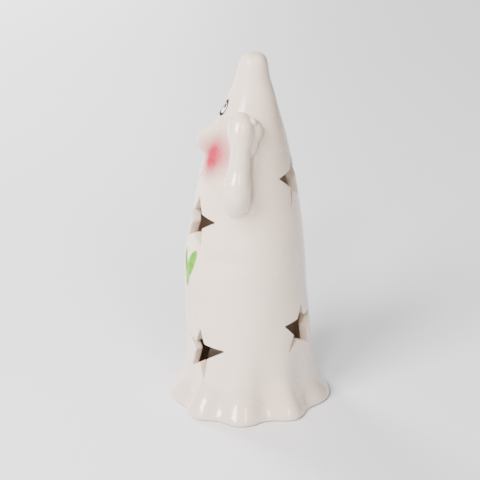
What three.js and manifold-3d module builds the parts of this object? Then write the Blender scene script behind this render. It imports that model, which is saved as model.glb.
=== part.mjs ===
// Glazed ceramic ghost luminary with a pull-out battery light unit.
// Millimetres, +Z up. Origin: centre of the footprint on the surface that it stands on.
// The ghost looks along -Y. Its left arm is on the +X side.
import * as THREE from "three";
import { mergeVertices } from "three/addons/utils/BufferGeometryUtils.js";
import Module from "manifold-3d";

const wasm = await Module();
wasm.setup();

// ---------------------------------------------------------------- driving dimensions
const HEIGHT = 200; // overall height
const FOOT_Z = 0.3; // hem above the surface; the felt pads carry the weight
const WALL = 5.5; // ceramic wall
const GAP = 0.3; // gap between touching pieces
const SEGMENTS = 56; // facets round the body

// Outer wall of the body: height, mean radius, offset of the section's centre along Y
const PROFILE = [
  [0.3, 44.0, 0], [1.1, 44.6, 0], [2.8, 43.6, 0], [7.3, 41.0, -0.1], [12.5, 38.9, -0.15], [17.6, 37.0, -0.3],
  [22.7, 35.95, -0.45], [28.5, 35.55, -0.6], [35.4, 35.3, -0.8], [48, 35.0, -1.4], [64, 34.6, -2.25], [79, 34.35, -3.0],
  [91, 33.3, -2.9], [106, 30.8, -2.1], [122, 28.2, -1.9], [134, 25.9, -1.8], [142, 23.9, -1.6],
  [146, 22.8, -1.45], [149, 22.0, -1.3], [152, 21.15, -1.1], [156, 19.95, -0.8], [159.5, 18.8, -0.5],
  [163.5, 17.35, -0.25], [168, 15.7, 0.05], [173, 13.85, 0.5], [179, 11.65, 0.85], [186, 9.4, 1.1], [191.5, 8.25, 1.3],
  [195.2, 7.5, 1.5], [197.8, 6.3, 1.5], [199.2, 4.7, 1.5], [199.8, 2.6, 1.45], [HEIGHT, 0, 1.4],
];
// Waves of the hem: angle from +X towards +Y, offset in units of the wave height, mirrored about the Y axis
const WAVES = [
  [-90, 0.7], [-80, 0.8], [-67, 0.1], [-60, -0.72], [-51.5, 0.35], [-43, 1.5], [-36, 1.25], [-29, 0.08], [-22, -0.3],
  [-17.5, 0.25], [-12, 0.78], [-5, 0.9], [1, 0.35], [7, -0.75], [12.5, -1.35], [19, -1.1], [27, -0.05], [34, 0.75],
  [42, 0.05], [52, -1.2], [58.5, -0.85], [65, -0.1], [71, 0.42], [80, 0.8], [90, 0.6],
];
const WAVE_HEIGHT = [[0, 2.6], [6, 2.65], [12, 2.3], [18, 1.65], [24, 1.0], [34, 0.45], [46, 0.14], [56, 0], [HEIGHT, 0]];
// Nose: height, how far it stands out along -Y, half width
const NOSE = [
  [143, 0, 8], [144.6, 0.5, 8], [146.2, 2.6, 8.2], [148.2, 5.1, 8.6], [151, 6.8, 8.8], [154.5, 7.1, 8.6], [157, 6.8, 8.2],
  [159.2, 5.4, 7.8], [161.5, 3.6, 7.3], [164, 2.2, 6.8], [168, 1.1, 6.2], [172, 0, 6],
];

// Base: recess under the floor, the floor and the hole that takes the light unit
const RECESS_R = 36;
const FLOOR_LOW = 7;
const FLOOR_HIGH = 12;
const HOLE_R = 26;
const CAVITY_TOP = 187;

// Star windows: angle of the centre, height of the centre, outline as [across, up] with +across towards +angle
const STAR_LOW = [[16, 4.7], [3.2, 5.8], [-0.2, 14.2], [-4.2, 5.2], [-12.5, 7], [-5, -0.6], [-9.5, -12], [-0.9, -6.4], [4.4, -15.8], [5.6, -2.2]];
const STAR_HIGH = [[15.6, 3.9], [5.4, 5.6], [-0.1, 14.4], [-5, 5.5], [-13.6, 4.4], [-6, -2], [-10.3, -11.8], [-0.8, -6.5], [8.6, -11.2], [7.2, -1.6]];
const STAR_BACK_HIGH = [[14.2, 4.4], [5, 6], [2.6, 14.1], [-3.2, 6.4], [-13.7, 4], [-6.4, -2.7], [-9.2, -13.2], [-1.6, -6.4], [9, -12.5], [6.5, -1.5]];
const STAR_BACK_LOW = [[13.5, 4.4], [4, 5.6], [0.8, 13.6], [-4.3, 5.8], [-13.9, 4.6], [-7.6, -2.5], [-12, -11.6], [-3, -6.6], [8.6, -13], [7, -2.8]];
const STARS = [
  [-49, 35.3, STAR_LOW, 1], [-66.3, 108.7, STAR_HIGH, 1], [74.9, 131.5, STAR_BACK_HIGH, 1], [59.9, 48.5, STAR_BACK_LOW, 1],
  [-128, 38.5, STAR_LOW, -1], [-131, 79.5, STAR_HIGH, -1], [128, 103, STAR_BACK_HIGH, -1], [122, 60, STAR_BACK_LOW, -1],
];

// Arms: centre line [x, y, z] and radius across and out of the wall, elbow to hand
const ARM = [
  [24.6, -7.0, 122.8, 3.0, 2.6], [26.8, -7.1, 123.1, 5.6, 4.4], [29.9, -7.2, 125.8, 6.9, 5.9], [32.2, -7.2, 130.2, 7.4, 6.6],
  [32.6, -7.1, 134.8, 7.3, 6.8], [31.9, -6.9, 138.4, 6.8, 6.3], [30.3, -6.4, 142.6, 6.1, 5.7], [29.2, -5.9, 147.6, 5.7, 5.5],
  [28.3, -5.5, 152.4, 5.4, 5.3], [26.9, -5.35, 156.8, 5.7, 5.5], [25.2, -5.25, 160.4, 6.9, 6.7], [23.3, -5.15, 164.4, 7.1, 6.9],
  [21.6, -5.2, 168.0, 6.0, 5.8], [20.2, -5.2, 170.6, 3.9, 3.7], [19.5, -5.2, 171.8, 1.5, 1.5],
];
const THUMB = [19.6, 2.0, 163.4, 4.3]; // centre and radius of the thumb's bump

// Light unit
const UNIT = {
  plateR: 31, plateLow: 1.5, plateHigh: 4.5,
  cupR: 24, cupIn: 22.4, cupTop: 24, cupWall: 1.6,
  doorX: -5.5, doorR: 14.6, doorHigh: 3.2, hingeX: -22.3, hingeZ: 3.0, hingeR: 1.4, pinR: 0.65,
  bossX: 11.6, switchX: 17.4,
  cellR: 5.8, cellLow: 4.3, cellHigh: 9.7,
};

// ---------------------------------------------------------------- helpers
const rad = (d) => (d * Math.PI) / 180;

// Monotone cubic through [x, y] points
function curveThrough(pts) {
  const n = pts.length, h = [], d = [], m = new Array(n).fill(0);
  for (let i = 0; i < n - 1; i++) {
    h.push(pts[i + 1][0] - pts[i][0]);
    d.push((pts[i + 1][1] - pts[i][1]) / h[i]);
  }
  m[0] = d[0];
  m[n - 1] = d[n - 2];
  for (let i = 1; i < n - 1; i++) {
    if (d[i - 1] * d[i] > 0) {
      const w1 = 2 * h[i] + h[i - 1], w2 = h[i] + 2 * h[i - 1];
      m[i] = (w1 + w2) / (w1 / d[i - 1] + w2 / d[i]);
    }
  }
  return (x) => {
    x = Math.min(Math.max(x, pts[0][0]), pts[n - 1][0]);
    let k = 0;
    while (k < n - 2 && x > pts[k + 1][0]) k++;
    const t = (x - pts[k][0]) / h[k], a = t * t, b = a * t;
    return (2 * b - 3 * a + 1) * pts[k][1] + (b - 2 * a + t) * h[k] * m[k] + (3 * a - 2 * b) * pts[k + 1][1] + (b - a) * h[k] * m[k + 1];
  };
}

const radiusAt = curveThrough(PROFILE.map((p) => [p[0], p[1]]));
const centreAt = curveThrough(PROFILE.map((p) => [p[0], p[2]]));
const waveHeightAt = curveThrough(WAVE_HEIGHT);
const noseOut = curveThrough(NOSE.map((p) => [p[0], p[1]]));
const noseWide = curveThrough(NOSE.map((p) => [p[0], p[2]]));
const wavePoints = (() => {
  const half = WAVES.map(([a, v]) => [a, v]);
  const far = WAVES.filter(([a]) => a > -90 && a < 72).map(([a, v]) => [a >= 0 ? 180 - a : -180 - a, v]);
  far.push([100, 0.35], [109, -0.1]);
  const all = half.concat(far).sort((p, q) => p[0] - q[0]);
  const n = all.length;
  return all.slice(n - 3).map(([a, v]) => [a - 360, v]).concat(all, all.slice(0, 3).map(([a, v]) => [a + 360, v]));
})();
const waveCurve = curveThrough(wavePoints);
const waveAt = (deg) => waveCurve(((((deg + 180) % 360) + 360) % 360) - 180);

// A point of the body's outer wall moved inwards by the given thickness
function wallPoint(deg, z, inwards, waves = 1) {
  const a = rad(deg);
  const r = radiusAt(z) + waves * waveHeightAt(z) * waveAt(deg) - inwards;
  const x = r * Math.cos(a);
  let y = centreAt(z) + r * Math.sin(a);
  if (inwards <= 0 && Math.sin(a) < 0 && z > 143 && z < 172) {
    const q = Math.min(Math.abs(x) / noseWide(z), 1);
    y -= noseOut(z) * (1 - q * q) ** 2;
  }
  return [x, y, z];
}

// A three.js geometry as a manifold-3d solid
function solid(geometry) {
  const g = geometry.clone();
  g.deleteAttribute("normal");
  g.deleteAttribute("uv");
  const m = mergeVertices(g, 1e-4);
  const src = m.index.array, tri = [];
  for (let i = 0; i < src.length; i += 3)
    if (src[i] !== src[i + 1] && src[i + 1] !== src[i + 2] && src[i] !== src[i + 2]) tri.push(src[i], src[i + 1], src[i + 2]);
  const make = (t) => new wasm.Manifold(new wasm.Mesh({ numProp: 3, vertProperties: new Float32Array(m.attributes.position.array), triVerts: new Uint32Array(t) }));
  let s = make(tri);
  if (s.volume() < 0) {
    for (let i = 0; i < tri.length; i += 3) [tri[i + 1], tri[i + 2]] = [tri[i + 2], tri[i + 1]];
    s = make(tri);
  }
  return s;
}
function geometryOf(s) {
  const mesh = s.getMesh(), g = new THREE.BufferGeometry();
  const p = new Float32Array(mesh.numVert * 3);
  for (let i = 0; i < mesh.numVert; i++) for (let k = 0; k < 3; k++) p[3 * i + k] = mesh.vertProperties[i * mesh.numProp + k];
  g.setAttribute("position", new THREE.BufferAttribute(p, 3));
  g.setIndex(new THREE.BufferAttribute(new Uint32Array(mesh.triVerts), 1));
  return g;
}
// Turned solid about Z from [radius, z] points
function turned(points, segments = 40) {
  const closed = points.concat(points[0][0] < 1e-6 && points[points.length - 1][0] < 1e-6 ? [] : [points[0]]);
  const g = new THREE.LatheGeometry(closed.map(([r, z]) => new THREE.Vector2(r, z)), segments);
  g.rotateX(Math.PI / 2);
  return solid(g);
}
const rod = (r, z0, z1, x = 0, y = 0, segments = 24) => turned([[0, z0], [r, z0], [r, z1], [0, z1]], segments).translate([x, y, 0]);
const block = (x0, x1, y0, y1, z0, z1) => {
  const g = new THREE.BoxGeometry(x1 - x0, y1 - y0, z1 - z0);
  g.translate((x0 + x1) / 2, (y0 + y1) / 2, (z0 + z1) / 2);
  return solid(g);
};
// Rounded bar: an extruded outline with round ends, along X or Y
function slotShape(length, width) {
  const s = new THREE.Shape(), r = width / 2, h = length / 2 - r;
  s.moveTo(-h, -r);
  s.lineTo(h, -r);
  s.absarc(h, 0, r, -Math.PI / 2, Math.PI / 2, false);
  s.lineTo(-h, r);
  s.absarc(-h, 0, r, Math.PI / 2, (3 * Math.PI) / 2, false);
  return s;
}
const slotBlock = (length, width, z0, z1, x, y, turn = 0) => {
  const g = new THREE.ExtrudeGeometry(slotShape(length, width), { depth: z1 - z0, bevelEnabled: false, curveSegments: 6 });
  return solid(g).rotate([0, 0, turn]).translate([x, y, z0]);
};

// ---------------------------------------------------------------- ceramic body
// The lathe's points run from the tip down the outside, under the foot, round the floor and up the inside.
function bodySolid(grow, hollow) {
  const outer = PROFILE.slice().reverse().map((p) => ["outer", p[0]]);
  const inner = [];
  if (hollow) {
    const foot = [["fixed", RECESS_R, FOOT_Z], ["fixed", RECESS_R, FLOOR_LOW], ["fixed", HOLE_R + 0.8, FLOOR_LOW], ["fixed", HOLE_R, FLOOR_LOW + 0.8],
      ["fixed", HOLE_R, FLOOR_HIGH - 0.8], ["fixed", HOLE_R + 0.8, FLOOR_HIGH], ["fixed", 30, FLOOR_HIGH]];
    inner.push(...foot);
    for (const z of [14, 19, 28, 48, 79, 106, 128, 146, 160, 172, 181]) inner.push(["inner", z]);
    inner.push(["axis", CAVITY_TOP]);
  } else inner.push(["axis", FOOT_Z - grow]);
  const rows = outer.concat(inner);
  const g = new THREE.LatheGeometry(
    rows.map((row, i) => new THREE.Vector2(i === 0 || i === rows.length - 1 ? 0 : 10, row[1])),
    SEGMENTS,
  );
  const pos = g.attributes.position, n = rows.length;
  for (let s = 0; s <= SEGMENTS; s++) {
    const deg = ((s % SEGMENTS) * 360) / SEGMENTS, a = rad(deg);
    rows.forEach((row, j) => {
      let p;
      if (row[0] === "outer") {
        p = j === 0 ? [0, centreAt(HEIGHT), HEIGHT + grow] : wallPoint(deg, row[1], -grow);
        if (j && row[1] === FOOT_Z) p[2] -= grow;
      } else if (row[0] === "fixed") p = [row[1] * Math.cos(a), row[1] * Math.sin(a), row[2]];
      else if (row[0] === "inner") p = wallPoint(deg, row[1], WALL + (row[1] < 16 ? 1.2 : 0) - (row[1] > 175 ? 0.6 : 0), 0.6);
      else p = [0, hollow ? centreAt(row[1]) : 0, row[1]];
      pos.setXYZ(s * n + j, p[0], p[1], p[2]);
    });
  }
  return solid(g);
}

// A straight star-shaped cutter that runs through the wall at the given angle and height
function starCutter(deg, z, outline, side) {
  const shape = new THREE.Shape(outline.map(([u, v]) => new THREE.Vector2(u * side, v)));
  const g = new THREE.ExtrudeGeometry(shape, { depth: 24, bevelEnabled: false });
  // local x -> towards +angle, local y -> up, local z -> outwards
  const a = rad(deg), r = radiusAt(z);
  const basis = new THREE.Matrix4().makeBasis(
    new THREE.Vector3(-Math.sin(a), Math.cos(a), 0),
    new THREE.Vector3(0, 0, 1),
    new THREE.Vector3(Math.cos(a), Math.sin(a), 0),
  );
  g.applyMatrix4(basis);
  g.translate((r - 15) * Math.cos(a), centreAt(z) + (r - 15) * Math.sin(a), z);
  return solid(g);
}

let shell = bodySolid(0, true);
for (const star of STARS) shell = shell.subtract(starCutter(...star));

// Round dimples under the foot ring that take the felt pads
const PAD_R = 2.3, PAD_HIGH = 1.0;
const PADS = [-41, 34, 146, -139].map((d) => [40.6 * Math.cos(rad(d)), 40.6 * Math.sin(rad(d))]);
for (const [x, y] of PADS) shell = shell.subtract(rod(PAD_R + GAP, -1, PAD_HIGH + GAP, x, y, 14));

// ---------------------------------------------------------------- arms
// A lathe of the arm's rings is bent along its centre line, then trimmed against the body.
function armSolid() {
  const rows = ARM.length, around = 14;
  const g = new THREE.LatheGeometry(ARM.map((p, i) => new THREE.Vector2(i === 0 || i === rows - 1 ? 0 : 1, i)), around);
  const pos = g.attributes.position;
  for (let s = 0; s <= around; s++) {
    const a = ((s % around) * 2 * Math.PI) / around;
    for (let j = 0; j < rows; j++) {
      const p = ARM[j], q0 = ARM[Math.max(j - 1, 0)], q1 = ARM[Math.min(j + 1, rows - 1)];
      const t = new THREE.Vector3(q1[0] - q0[0], q1[1] - q0[1], q1[2] - q0[2]).normalize();
      const across = new THREE.Vector3(0, 1, 0), out = new THREE.Vector3().crossVectors(across, t).normalize();
      across.crossVectors(t, out);
      const ra = j === 0 || j === rows - 1 ? 0 : p[3], ro = j === 0 || j === rows - 1 ? 0 : p[4];
      pos.setXYZ(
        s * rows + j,
        p[0] + out.x * ro * Math.cos(a) + across.x * ra * Math.sin(a),
        p[1] + out.y * ro * Math.cos(a) + across.y * ra * Math.sin(a),
        p[2] + out.z * ro * Math.cos(a) + across.z * ra * Math.sin(a),
      );
    }
  }
  const thumb = new THREE.SphereGeometry(THUMB[3], 12, 8);
  thumb.scale(1, 1, 1.3);
  thumb.translate(THUMB[0], THUMB[1], THUMB[2]);
  return solid(g).add(solid(thumb)).subtract(bodySolid(GAP, false));
}
const armBodies = armSolid().decompose().sort((p, q) => q.volume() - p.volume());
const leftArm = armBodies[0];
const rightArm = leftArm.mirror([1, 0, 0]);

// ---------------------------------------------------------------- light unit
const U = UNIT;
// Bottom plate: door opening with its tab and hinge notch, switch slot, screw holes
let plate = turned([[0, U.plateLow], [U.plateR - 0.8, U.plateLow], [U.plateR, U.plateLow + 0.8], [U.plateR, U.plateHigh], [0, U.plateHigh]], 40)
  .subtract(rod(U.doorR + 0.5, 0, 6, U.doorX, 0, 32))
  .subtract(block(5, 14.6, -3.5, 3.5, 0, 6))
  .subtract(block(-24.3, -18, -4.9, 4.9, 0, 6))
  .subtract(slotBlock(8.4, 2.6, 0, 6, U.switchX, 0, 90));
const pinHole = turned([[0, -8], [U.pinR + GAP, -8], [U.pinR + GAP, 8], [0, 8]], 14).rotate([90, 0, 0]).translate([U.hingeX, 0, U.hingeZ]);
plate = plate.subtract(pinHole);
const SCREW_Y = 18.6;
for (const s of [-1, 1]) plate = plate.subtract(turned([[0, 0], [2.7, 0], [2.7, 2.9], [1.35, 2.9], [1.35, 6], [0, 6]], 16).translate([2, s * SCREW_Y, 0]));

// Cup with the screw bosses, and the boss that takes the door's screw
const cupLow = U.plateHigh + GAP;
let cup = turned([[U.cupR, cupLow], [U.cupR, U.cupTop - 1.2], [U.cupR - 1.2, U.cupTop], [3.1, U.cupTop], [3.1, U.cupTop - U.cupWall], [U.cupIn, U.cupTop - U.cupWall], [U.cupIn, cupLow]], 36);
for (const s of [-1, 1]) {
  cup = cup.add(rod(2.6, cupLow, 12, 2, s * SCREW_Y, 16).add(block(0.9, 3.1, s > 0 ? SCREW_Y : -23, s > 0 ? 23 : -SCREW_Y, cupLow, 12)))
    .subtract(rod(1.3, 0, 10.2, 2, s * SCREW_Y, 14));
}
cup = cup.add(turned([[1.65, cupLow], [2.6, cupLow], [2.6, 9.6], [0, 9.6], [0, 8.6], [1.65, 8.6]].reverse(), 18).translate([U.bossX, 0, 0]))
  .add(block(13.6, 22.9, -0.7, 0.7, 9.0, 11.2)).add(block(U.bossX - 1, 14.4, -0.7, 0.7, 9.2, 11.2));

const gasket = turned([[24.3, cupLow], [30, cupLow], [30, 6.7], [25.7, 6.7], [25.7, 11.2], [25.3, 11.6], [24.3, 11.6]], 36);

// Flame-shaped diffuser, hollow underneath
const diffuser = turned([
  [3.7, 24.3], [8.2, 24.3], [8.2, 25.4], [6.4, 26.0], [6.9, 28.5], [7.1, 31.5], [6.3, 36], [4.4, 41], [2.2, 45], [0, 48],
  [0, 33.5], [2.6, 32.4], [3.7, 29.5],
], 18);
const led = turned([[0, 13.2], [1.5, 13.2], [1.5, 17.6], [2.85, 17.6], [2.85, 18.7], [2.45, 18.7], [2.45, 25.2], [1.8, 27.2], [0, 28.1]], 14);

const boardR = 21.6;
let board = turned([[0, 11.7], [boardR, 11.7], [boardR, 12.9], [0, 12.9]], 32);
for (const s of [-1, 1]) board = board.subtract(rod(3.1, 10, 14, 2, s * SCREW_Y, 16)).subtract(block(0.4, 3.6, s > 0 ? 18 : -23, s > 0 ? 23 : -18, 10, 14));

// Tray with three pockets for the cells
const CELLS = [90, 210, 330].map((d) => [U.doorX + 7.2 * Math.cos(rad(d)), 7.2 * Math.sin(rad(d))]);
let tray = rod(14.1, cupLow, 10.2, U.doorX, 0, 32);
for (const [x, y] of CELLS) tray = tray.subtract(rod(U.cellR + GAP, 3, 12, x, y, 20));
tray = tray.subtract(block(8.2, 10, -3.2, 3.2, 3, 12));
const cell = ([x, y]) => turned([[0, U.cellLow], [4.4, U.cellLow], [4.4, U.cellLow + 0.35], [U.cellR, U.cellLow + 0.7], [U.cellR, U.cellHigh], [0, U.cellHigh]], 20).translate([x, y, 0]);

// Contacts: a three-pad plate above the cells and another on the door
function contactPlate(z0, z1, reach, padR) {
  let s = rod(3.4, z0, z1, U.doorX, 0, 12);
  for (const d of [90, 210, 330]) {
    const x = U.doorX + reach * Math.cos(rad(d)), y = reach * Math.sin(rad(d));
    s = s.add(rod(padR, z0, z1, x, y, 12)).add(slotBlock(reach, 3, z0, z1, (x + U.doorX) / 2, y / 2, d));
  }
  return s;
}
const upperContact = contactPlate(10.5, 11.0, 7.2, 3.4);
const doorContact = contactPlate(3.5, 3.9, 7.2, 3.2);

// Door: disc with a tab for its screw and a hinge barrel
let door = rod(U.doorR, U.plateLow, U.doorHigh, U.doorX, 0, 32)
  .add(slotBlock(18, 6, U.plateLow, U.doorHigh, 5.2, 0))
  .add(block(U.hingeX, -18, -4.5, 4.5, U.plateLow + 0.1, U.doorHigh))
  .add(turned([[0, -4.5], [U.hingeR, -4.5], [U.hingeR, 4.5], [0, 4.5]], 16).rotate([90, 0, 0]).translate([U.hingeX, 0, U.hingeZ]))
  .subtract(pinHole)
  .subtract(turned([[0, 0], [2.6, 0], [2.6, 2.3], [1.4, 2.3], [1.4, 6], [0, 6]], 18).translate([U.bossX, 0, 0]));
// Grip ribs recessed into the door's face
for (const y of [-3.2, 0, 3.2]) door = door.subtract(slotBlock(12, 1.2, 0, U.plateLow + 0.5, -7, y));
const hingePin = turned([[0, -7.6], [U.pinR, -7.6], [U.pinR, 7.6], [0, 7.6]], 12).rotate([90, 0, 0]).translate([U.hingeX, 0, U.hingeZ]);

// Pan-head screw with a cross slot: head radius, head low and high, shank radius and tip
function screw(headR, z0, z1, shankR, tip, x, y) {
  let s = turned([[0, z0], [headR - 0.3, z0], [headR, z0 + 0.3], [headR, z1], [shankR, z1], [shankR, tip - 0.5], [shankR - 0.4, tip], [0, tip]], 14);
  s = s.subtract(block(-headR * 0.62, headR * 0.62, -0.25, 0.25, z0 - 1, z0 + 0.45)).subtract(block(-0.25, 0.25, -headR * 0.62, headR * 0.62, z0 - 1, z0 + 0.45));
  return s.translate([x, y, 0]);
}
const doorScrew = screw(2.25, 0.9, 2.0, 0.95, 7.4, U.bossX, 0);
const housingScrew = (s) => screw(2.3, 1.3, 2.6, 0.95, 9.6, 2, s * SCREW_Y);

const switchBody = block(14.9, 20.1, -4.6, 4.6, 5.0, 8.8).subtract(block(16.2, 18.6, -3.6, 3.6, 4, 6.4));
const knob = block(16.6, 18.2, -3.1, -0.3, 2.0, 6.0).add(block(15.9, 18.9, -3.3, -0.1, 0.7, 1.2).add(block(16.6, 18.2, -3.1, -0.3, 1.0, 2.2)));

const feltPad = ([x, y]) => turned([[0, 0], [PAD_R - 0.1, 0], [PAD_R, 0.2], [PAD_R, PAD_HIGH], [0, PAD_HIGH]], 16).translate([x, y, 0]);

// ---------------------------------------------------------------- scene graph
const paint = (color, roughness, metalness = 0, extra = {}) => new THREE.MeshStandardMaterial({ color, roughness, metalness, ...extra });
const M = {
  glaze: paint(0xe4ddd8, 0.16),
  felt: paint(0x8e8a84, 0.95),
  rubber: paint(0x3b352f, 0.6),
  plastic: paint(0xeceae4, 0.42),
  flame: paint(0xb98a4a, 0.3, 0, { transparent: true, opacity: 0.85 }),
  housing: paint(0x3a322b, 0.5),
  led: paint(0xf6e9b8, 0.12, 0, { transparent: true, opacity: 0.8 }),
  board: paint(0x2f6b3c, 0.5),
  tray: paint(0x2a2a2c, 0.5),
  steel: paint(0xb9bbbd, 0.3, 1),
  brass: paint(0xc9a85c, 0.32, 1),
  black: paint(0x1f1f21, 0.45),
};
const named = (name, s, material) => {
  const mesh = new THREE.Mesh(geometryOf(s), material);
  mesh.name = name;
  return mesh;
};

const group = new THREE.Group();
const figure = new THREE.Group();
figure.add(named("ghost_shell", shell, M.glaze), named("left_arm", leftArm, M.glaze), named("right_arm", rightArm, M.glaze));
PADS.forEach((p, i) => figure.add(named("felt_pad_" + (i + 1), feltPad(p), M.felt)));
const unit = new THREE.Group();
unit.add(
  named("base_plate", plate, M.plastic), named("light_housing", cup, M.housing), named("gasket_ring", gasket, M.rubber),
  named("flame_diffuser", diffuser, M.flame), named("led", led, M.led), named("circuit_board", board, M.board), named("cell_holder", tray, M.tray),
  named("contact_strip", upperContact, M.brass), named("switch_body", switchBody, M.black), named("door_hinge_pin", hingePin, M.steel),
  named("housing_screw_1", housingScrew(1), M.steel), named("housing_screw_2", housingScrew(-1), M.steel), named("switch_knob", knob, M.black),
);
CELLS.forEach((p, i) => unit.add(named("button_cell_" + (i + 1), cell(p), M.steel)));
const doorGroup = new THREE.Group();
doorGroup.add(named("battery_door", door, M.plastic), named("door_contact", doorContact, M.brass), named("door_screw", doorScrew, M.steel));
unit.add(doorGroup);
group.add(figure, unit);

export default group;
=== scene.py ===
# Looks of the glazed ceramic ghost luminary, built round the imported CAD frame.
import math
import bpy, bmesh
import numpy as np
from mathutils import Vector, Matrix
from mathutils.geometry import delaunay_2d_cdt


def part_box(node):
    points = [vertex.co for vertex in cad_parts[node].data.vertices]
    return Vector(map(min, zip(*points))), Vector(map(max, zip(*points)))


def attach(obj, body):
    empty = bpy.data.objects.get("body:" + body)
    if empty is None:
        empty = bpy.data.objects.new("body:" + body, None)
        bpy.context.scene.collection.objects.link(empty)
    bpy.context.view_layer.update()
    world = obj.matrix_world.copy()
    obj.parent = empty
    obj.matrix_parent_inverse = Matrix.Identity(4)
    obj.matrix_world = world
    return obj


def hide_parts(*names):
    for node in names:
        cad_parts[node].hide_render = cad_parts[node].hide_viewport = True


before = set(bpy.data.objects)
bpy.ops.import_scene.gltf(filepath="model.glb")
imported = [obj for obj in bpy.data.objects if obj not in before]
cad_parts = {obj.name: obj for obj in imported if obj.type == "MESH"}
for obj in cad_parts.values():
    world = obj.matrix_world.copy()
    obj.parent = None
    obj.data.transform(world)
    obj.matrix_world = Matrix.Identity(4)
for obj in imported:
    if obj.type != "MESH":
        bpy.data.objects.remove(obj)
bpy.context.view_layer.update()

rng = np.random.default_rng(7)

# ------------------------------------------------------------------ dimensions (mm)
FOOT_Z, WALL = 0.3, 5.5
RECESS_R, FLOOR_LOW, FLOOR_HIGH, HOLE_R, CAVITY_TOP = 36.0, 7.0, 12.0, 26.0, 187.0
PROFILE = [  # height, mean radius, offset of the section's centre along Y
    (1.1, 44.5, 0), (2.8, 43.7, 0), (7.3, 41.0, -.1), (12.5, 38.5, -.15), (17.6, 36.8, -.3), (22.7, 35.9, -.45),
    (28.5, 35.55, -.6), (35.4, 35.3, -.8), (42, 35.2, -1.1), (54, 34.9, -1.7), (66, 34.6, -2.35), (78, 34.4, -3.0),
    (88, 33.6, -3.0), (98, 32.0, -2.4), (110, 30.2, -2.0), (122, 28.2, -1.85), (134, 25.9, -1.8), (146, 22.8, -1.45),
    (158, 19.3, -.65), (168, 15.7, .05), (177, 12.35, .75), (186, 9.4, 1.1), (191.5, 8.25, 1.3), (195.2, 7.45, 1.5),
    (197.7, 6.3, 1.5), (199.1, 4.7, 1.5), (199.72, 2.6, 1.45), (199.9, 0, 1.4)]
WAVES = [(-90, .7), (-80, .8), (-67, .1), (-60, -.72), (-51.5, .35), (-43, 1.5), (-36, 1.25), (-29, .08), (-22, -.3),
         (-17.5, .25), (-12, .78), (-5, .9), (1, .35), (7, -.75), (12.5, -1.35), (19, -1.1), (27, -.05), (34, .75),
         (42, .05), (52, -1.2), (58.5, -.85), (65, -.1), (71, .42), (80, .8), (90, .6)]
WAVE_HEIGHT = [(0, 2.6), (6, 2.65), (12, 2.15), (18, 1.5), (24, .95), (34, .45), (46, .14), (56, 0), (200, 0)]
NOSE = [(143, 0, 8), (144.6, .5, 8), (146.2, 2.6, 8.2), (148.2, 5.1, 8.6), (151, 6.8, 8.8), (154.5, 7.1, 8.6),
        (157, 6.8, 8.2), (159.2, 5.4, 7.8), (161.5, 3.6, 7.3), (164, 2.2, 6.8), (168, 1.1, 6.2), (172, 0, 6)]
LOW = [(16, 4.7), (3.2, 5.8), (-.2, 14.2), (-4.2, 5.2), (-12.5, 7), (-5, -.6), (-9.5, -12), (-.9, -6.4), (4.4, -15.8), (5.6, -2.2)]
HIGH = [(15.6, 3.9), (5.4, 5.6), (-.1, 14.4), (-5, 5.5), (-13.6, 4.4), (-6, -2), (-10.3, -11.8), (-.8, -6.5), (8.6, -11.2), (7.2, -1.6)]
BACK_HIGH = [(14.2, 4.4), (5, 6), (2.6, 14.1), (-3.2, 6.4), (-13.7, 4), (-6.4, -2.7), (-9.2, -13.2), (-1.6, -6.4), (9, -12.5), (6.5, -1.5)]
BACK_LOW = [(13.5, 4.4), (4, 5.6), (.8, 13.6), (-4.3, 5.8), (-13.9, 4.6), (-7.6, -2.5), (-12, -11.6), (-3, -6.6), (8.6, -13), (7, -2.8)]
STARS = [(-49, 35.3, LOW, 1), (-66.3, 108.7, HIGH, 1), (74.9, 131.5, BACK_HIGH, 1), (59.9, 48.5, BACK_LOW, 1),
         (-128, 38.5, LOW, -1), (-131, 79.5, HIGH, -1), (128, 103, BACK_HIGH, -1), (122, 60, BACK_LOW, -1)]
ARM = [(24.0, -7.0, 123.4, 4.0), (27.0, -7.2, 124.0, 5.7), (30.5, -7.3, 126.6, 6.9), (32.6, -7.3, 130.4, 7.35),
       (32.8, -7.15, 134.5, 7.4), (32.1, -6.9, 137.6, 7.0), (30.7, -6.6, 140.6, 6.35), (29.8, -6.2, 143.8, 5.95),
       (29.1, -5.8, 148.0, 5.65), (28.4, -5.5, 152.2, 5.4), (27.4, -5.35, 155.6, 5.4), (26.2, -5.3, 158.4, 6.15),
       (24.7, -5.2, 161.6, 7.0), (23.0, -5.1, 165.2, 7.0), (21.4, -5.2, 168.2, 5.2)]
THUMB = (19.8, 1.9, 163.2, 4.4)


# ------------------------------------------------------------------ curves
def pchip(x, pts, col=1):
    xs = np.array([p[0] for p in pts], float)
    ys = np.array([p[col] for p in pts], float)
    h = np.diff(xs); d = np.diff(ys) / h
    m = np.zeros_like(ys)
    w1 = 2 * h[1:] + h[:-1]; w2 = h[1:] + 2 * h[:-1]
    ok = d[1:] * d[:-1] > 0
    den = np.where(ok, w1 / np.where(d[:-1] == 0, 1, d[:-1]) + w2 / np.where(d[1:] == 0, 1, d[1:]), 1)
    m[1:-1] = np.where(ok, (w1 + w2) / den, 0)
    m[0], m[-1] = d[0], d[-1]
    x = np.clip(x, xs[0], xs[-1])
    k = np.clip(np.searchsorted(xs, x, side="right") - 1, 0, len(xs) - 2)
    t = (x - xs[k]) / h[k]
    return ((2 * t**3 - 3 * t**2 + 1) * ys[k] + (t**3 - 2 * t**2 + t) * h[k] * m[k]
            + (3 * t**2 - 2 * t**3) * ys[k + 1] + (t**3 - t**2) * h[k] * m[k + 1])


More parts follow.
